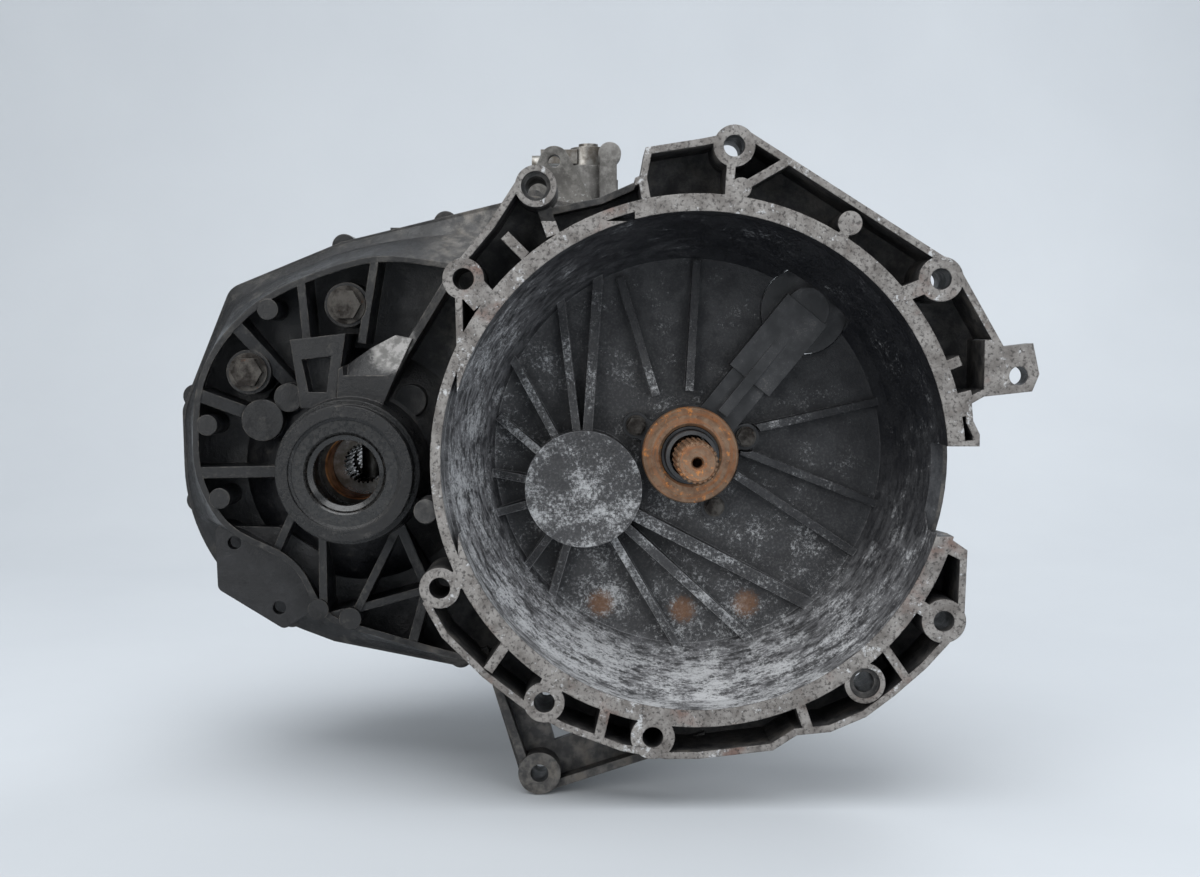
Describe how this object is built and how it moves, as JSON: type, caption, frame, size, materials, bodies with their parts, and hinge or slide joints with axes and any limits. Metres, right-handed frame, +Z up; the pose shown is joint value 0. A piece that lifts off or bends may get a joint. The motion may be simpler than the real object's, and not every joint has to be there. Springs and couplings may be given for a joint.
{
  "type": "manual transmission",
  "caption": "Transverse manual transmission: open clutch bell with release bearing, geared shafts, synchronisers, selector and differential.",
  "frame": {"origin": "where the input shaft's axis crosses the engine mating face", "axes": "+Z up as fitted, +Y from the engine into the gearbox, +X right, the differential lies towards -X"},
  "size_m": [0.531, 0.364, 0.419],
  "materials": {
    "bell_casting": "weathered casting with white oxide",
    "case_casting": "oily sand-cast grey",
    "tower_casting": "dull casting",
    "gasket": "matte",
    "fastener_steel": "dull zinc, oily",
    "rusty_steel": "rusty",
    "bearing_steel": "ground and oily",
    "gear_steel": "ground, oily",
    "plain_steel": "dull machined",
    "cast_iron": "oily casting",
    "bronze": "oily brass",
    "seal_rubber": "oily",
    "black_plastic": "moulded"
  },
  "bodies": {
    "case": {"clutch_housing": "bell_casting", "gear_case": "case_casting", "end_cover_gasket": "gasket", "end_cover": "case_casting", "case_bolts": "fastener_steel", "cover_bolts": "fastener_steel", "housing_bolts": "fastener_steel", "tower_bolts": "fastener_steel", "input_bearing_outers": "bearing_steel", "output_bearing_outers": "bearing_steel", "diff_bearing_cups": "bearing_steel", "diff_seal_front": "seal_rubber", "diff_seal_rear": "seal_rubber", "slave_cylinder": "black_plastic", "slave_bolts": "fastener_steel", "shift_tower": "tower_casting", "reverse_idler_shaft": "plain_steel", "oil_plugs": "fastener_steel", "breather": "black_plastic", "speed_sensor": "black_plastic", "reverse_light_switch": "black_plastic"},
    "input": {"input_shaft": "rusty_steel", "input_bearing_inners": "bearing_steel", "gear_5_drive": "gear_steel", "hub_34": "gear_steel", "baulk_rings_input": "bronze"},
    "output": {"output_shaft": "gear_steel", "output_bearing_inners": "bearing_steel", "hub_12": "gear_steel", "hub_5r": "gear_steel", "baulk_rings_output": "bronze", "gear_3_driven": "gear_steel", "gear_4_driven": "gear_steel"},
    "first_gear": {"gear_1_driven": "gear_steel"},
    "second_gear": {"gear_2_driven": "gear_steel"},
    "third_gear": {"gear_3_drive": "gear_steel"},
    "fourth_gear": {"gear_4_drive": "gear_steel"},
    "fifth_gear": {"gear_5_driven": "gear_steel"},
    "reverse_gear": {"gear_r_driven": "gear_steel"},
    "reverse_idler": {"reverse_idler_gear": "gear_steel"},
    "sleeve_12": {"sleeve_12": "gear_steel"},
    "sleeve_34": {"sleeve_34": "gear_steel"},
    "sleeve_5r": {"sleeve_5r": "gear_steel"},
    "fork_12": {"fork_12": "plain_steel"},
    "fork_34": {"fork_34": "plain_steel"},
    "fork_5r": {"fork_5r": "plain_steel"},
    "differential": {"diff_carrier": "cast_iron", "ring_gear": "gear_steel", "ring_gear_bolts": "gear_steel", "diff_bearing_cones": "bearing_steel", "diff_cross_pin": "plain_steel"},
    "side_gear_front": {"side_gear_front": "gear_steel"},
    "side_gear_rear": {"side_gear_rear": "gear_steel"},
    "pinion_top": {"diff_pinion_top": "gear_steel"},
    "pinion_bottom": {"diff_pinion_bottom": "gear_steel"},
    "shift_lever": {"shift_lever": "plain_steel"},
    "selector": {"selector_shaft": "plain_steel"},
    "select_crank": {"select_lever": "plain_steel"},
    "release_sleeve": {"release_bearing_carrier": "black_plastic"},
    "release_ring": {"release_bearing_ring": "rusty_steel"}
  },
  "joints": [
    {"name": "input_spin", "type": "hinge", "parent": "case", "child": "input", "pos_m": [0, 0.2, 0], "axis": [0, 1, 0], "continuous": true},
    {"name": "diff_spin", "type": "hinge", "parent": "case", "child": "differential", "pos_m": [-0.21, 0.138, -0.008], "axis": [0, 1, 0], "continuous": true},
    {"name": "output_spin", "type": "hinge", "parent": "case", "child": "output", "pos_m": [-0.067, 0.2, -0.021], "axis": [0, 1, 0], "continuous": true},
    {"name": "first_gear_spin", "type": "hinge", "parent": "case", "child": "first_gear", "pos_m": [-0.067, 0.2, -0.021], "axis": [0, 1, 0], "continuous": true},
    {"name": "second_gear_spin", "type": "hinge", "parent": "case", "child": "second_gear", "pos_m": [-0.067, 0.2, -0.021], "axis": [0, 1, 0], "continuous": true},
    {"name": "fifth_gear_spin", "type": "hinge", "parent": "case", "child": "fifth_gear", "pos_m": [-0.067, 0.2, -0.021], "axis": [0, 1, 0], "continuous": true},
    {"name": "reverse_idler_spin", "type": "hinge", "parent": "case", "child": "reverse_idler", "pos_m": [-0.00415, 0.336, -0.0396], "axis": [0, 1, 0], "continuous": true},
    {"name": "reverse_gear_spin", "type": "hinge", "parent": "case", "child": "reverse_gear", "pos_m": [-0.067, 0.2, -0.021], "axis": [0, 1, 0], "continuous": true},
    {"name": "third_gear_spin", "type": "hinge", "parent": "case", "child": "third_gear", "pos_m": [0, 0.2, 0], "axis": [0, 1, 0], "continuous": true},
    {"name": "fourth_gear_spin", "type": "hinge", "parent": "case", "child": "fourth_gear", "pos_m": [0, 0.2, 0], "axis": [0, 1, 0], "continuous": true},
    {"name": "side_gear_front_spin", "type": "hinge", "parent": "differential", "child": "side_gear_front", "pos_m": [-0.21, 0.138, -0.008], "axis": [0, 1, 0], "continuous": true},
    {"name": "side_gear_rear_spin", "type": "hinge", "parent": "differential", "child": "side_gear_rear", "pos_m": [-0.21, 0.138, -0.008], "axis": [0, 1, 0], "continuous": true},
    {"name": "pinion_top_spin", "type": "hinge", "parent": "differential", "child": "pinion_top", "pos_m": [-0.21, 0.138, -0.008], "axis": [0, 0, 1], "continuous": true},
    {"name": "pinion_bottom_spin", "type": "hinge", "parent": "differential", "child": "pinion_bottom", "pos_m": [-0.21, 0.138, -0.008], "axis": [0, 0, 1], "continuous": true},
    {"name": "fork_12_slide", "type": "slide", "parent": "case", "child": "fork_12", "axis": [0, 1, 0], "range_m": [-0.007, 0.007]},
    {"name": "sleeve_12_slide", "type": "slide", "parent": "output", "child": "sleeve_12", "axis": [0, 1, 0], "range_m": [-0.007, 0.007]},
    {"name": "fork_34_slide", "type": "slide", "parent": "case", "child": "fork_34", "axis": [0, 1, 0], "range_m": [-0.006, 0.006]},
    {"name": "sleeve_34_slide", "type": "slide", "parent": "input", "child": "sleeve_34", "axis": [0, 1, 0], "range_m": [-0.006, 0.006]},
    {"name": "fork_5r_slide", "type": "slide", "parent": "case", "child": "fork_5r", "axis": [0, 1, 0], "range_m": [-0.005, 0.005]},
    {"name": "sleeve_5r_slide", "type": "slide", "parent": "output", "child": "sleeve_5r", "axis": [0, 1, 0], "range_m": [-0.005, 0.005]},
    {"name": "shift_lever_turn", "type": "hinge", "parent": "case", "child": "shift_lever", "pos_m": [-0.064, 0.207, 0.2], "axis": [0, 0, 1], "range_deg": [-14, 14]},
    {"name": "selector_slide", "type": "slide", "parent": "shift_lever", "child": "selector", "axis": [0, 0, 1], "range_m": [-0.008, 0.008]},
    {"name": "select_crank_turn", "type": "hinge", "parent": "case", "child": "select_crank", "pos_m": [-0.103, 0.243, 0.178], "axis": [1, 0, 0], "range_deg": [-20, 20]},
    {"name": "release_slide", "type": "slide", "parent": "case", "child": "release_sleeve", "axis": [0, -1, 0], "range_m": [0, 0.01]},
    {"name": "release_ring_spin", "type": "hinge", "parent": "release_sleeve", "child": "release_ring", "pos_m": [0, 0.066, 0], "axis": [0, 1, 0], "continuous": true}
  ],
  "couplings": [
    {"joint": "output_spin", "follows": "diff_spin", "ratio": -3.08},
    {"joint": "first_gear_spin", "follows": "input_spin", "ratio": -0.2766},
    {"joint": "second_gear_spin", "follows": "input_spin", "ratio": -0.5},
    {"joint": "fifth_gear_spin", "follows": "input_spin", "ratio": -1.4},
    {"joint": "reverse_idler_spin", "follows": "input_spin", "ratio": -0.7},
    {"joint": "reverse_gear_spin", "follows": "input_spin", "ratio": 0.38889},
    {"joint": "third_gear_spin", "follows": "diff_spin", "ratio": 4.0277},
    {"joint": "fourth_gear_spin", "follows": "diff_spin", "ratio": 2.8813},
    {"joint": "side_gear_rear_spin", "follows": "side_gear_front_spin", "ratio": -1},
    {"joint": "pinion_top_spin", "follows": "side_gear_front_spin", "ratio": 1.8},
    {"joint": "pinion_bottom_spin", "follows": "side_gear_front_spin", "ratio": -1.8},
    {"joint": "sleeve_12_slide", "follows": "fork_12_slide", "ratio": 1},
    {"joint": "sleeve_34_slide", "follows": "fork_34_slide", "ratio": 1},
    {"joint": "sleeve_5r_slide", "follows": "fork_5r_slide", "ratio": 1},
    {"joint": "select_crank_turn", "follows": "selector_slide", "rad_per_m": 41.625}
  ]
}
